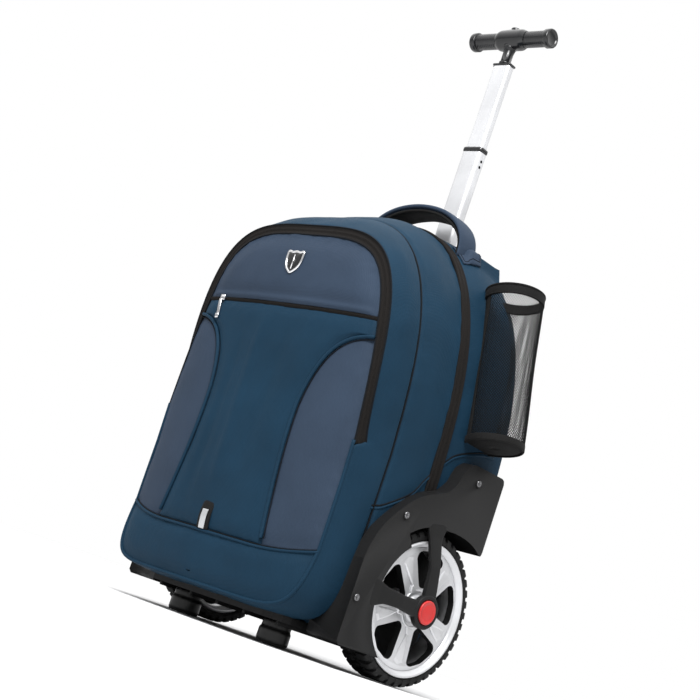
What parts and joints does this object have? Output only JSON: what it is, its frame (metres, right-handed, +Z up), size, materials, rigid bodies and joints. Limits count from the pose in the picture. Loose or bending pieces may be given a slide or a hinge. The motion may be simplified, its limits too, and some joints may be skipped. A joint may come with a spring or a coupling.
{
  "type": "wheeled backpack",
  "caption": "Rolling backpack with a front pocket and zipped compartments, mesh bottle pockets, large spoked wheels in guards, front feet, and a telescopic pole with a crossbar grip.",
  "frame": {"origin": "middle of the footprint, on the floor that the wheels and feet stand on", "axes": "+Z up, -Y out of the front panel, +Y to the worn side, +X to the object's own left as it is worn"},
  "size_m": [0.4532, 0.3068, 0.871],
  "materials": {
    "navy_cloth": "fine woven polyester",
    "slate_cloth": "smooth coated polyester",
    "black_webbing": "woven tape",
    "black_net": "open diamond net",
    "black_plastic": "fine texture",
    "foot_rubber": "satin",
    "tyre_rubber": "satin",
    "silver_rim": "silver paint",
    "red_cap": "satin",
    "axle_steel": "plain",
    "bright_metal": "polished",
    "pole_aluminium": "polished, anodised",
    "grip_plastic": "gloss"
  },
  "bodies": {
    "bag": {"front_top_panel": "slate_cloth", "front_lower_panel": "navy_cloth", "front_side_panel_right": "slate_cloth", "front_side_panel_left": "slate_cloth", "front_center_panel": "navy_cloth", "front_pocket_zip": "black_webbing", "front_zip_pull": "bright_metal", "front_pocket": "navy_cloth", "badge": "bright_metal", "tag_loop": "black_webbing", "front_compartment": "navy_cloth", "front_zip_band": "black_webbing", "side_zip_pull": "bright_metal", "main_compartment": "navy_cloth", "main_zip_band": "black_webbing", "back_pad": "black_webbing", "shoulder_strap_right": "black_webbing", "shoulder_strap_left": "black_webbing", "carry_handle": "slate_cloth", "mesh_pocket_right": "black_net", "mesh_pocket_left": "black_net", "mesh_pocket_rim_right": "black_webbing", "mesh_pocket_rim_left": "black_webbing", "mesh_pocket_foot_right": "black_webbing", "mesh_pocket_foot_left": "black_webbing", "base_plate": "black_plastic", "foot_right": "foot_rubber", "foot_left": "foot_rubber", "wheel_housing_right": "black_plastic", "wheel_housing_left": "black_plastic", "axle_right": "axle_steel", "axle_left": "axle_steel", "hub_cap_right": "red_cap", "hub_cap_left": "red_cap", "guard_screw_rear_right": "bright_metal", "guard_screw_rear_left": "bright_metal", "guard_screw_middle_right": "bright_metal", "guard_screw_middle_left": "bright_metal", "guard_screw_front_right": "bright_metal", "guard_screw_front_left": "bright_metal", "outer_tube": "black_plastic"},
    "wheel_right": {"tyre_right": "tyre_rubber", "rim_right": "silver_rim"},
    "wheel_left": {"tyre_left": "tyre_rubber", "rim_left": "silver_rim"},
    "lower_pole": {"lower_tube": "pole_aluminium", "lower_tube_collar": "grip_plastic"},
    "upper_pole": {"upper_tube": "pole_aluminium", "upper_tube_cap": "grip_plastic", "grip_clamp": "grip_plastic", "grip_bar": "grip_plastic", "grip_cap_right": "grip_plastic", "grip_cap_left": "grip_plastic"},
    "release_button": {"grip_button": "grip_plastic"}
  },
  "joints": [
    {"name": "wheel_right_spin", "type": "hinge", "parent": "bag", "child": "wheel_right", "pos_m": [0.16, 0.03775, 0.0906], "axis": [1, 0, 0], "continuous": true},
    {"name": "wheel_left_spin", "type": "hinge", "parent": "bag", "child": "wheel_left", "pos_m": [-0.16, 0.03775, 0.0906], "axis": [1, 0, 0], "continuous": true},
    {"name": "lower_pole_slide", "type": "slide", "parent": "bag", "child": "lower_pole", "axis": [0, 0, 1], "range_m": [-0.134, 0.09]},
    {"name": "upper_pole_slide", "type": "slide", "parent": "lower_pole", "child": "upper_pole", "axis": [0, 0, 1], "range_m": [-0.12, 0.09]},
    {"name": "release_button_press", "type": "slide", "parent": "upper_pole", "child": "release_button", "axis": [0, 0, -1], "range_m": [0, 0.003], "stiffness_N_per_m": 500, "springref_m": -0.001}
  ]
}
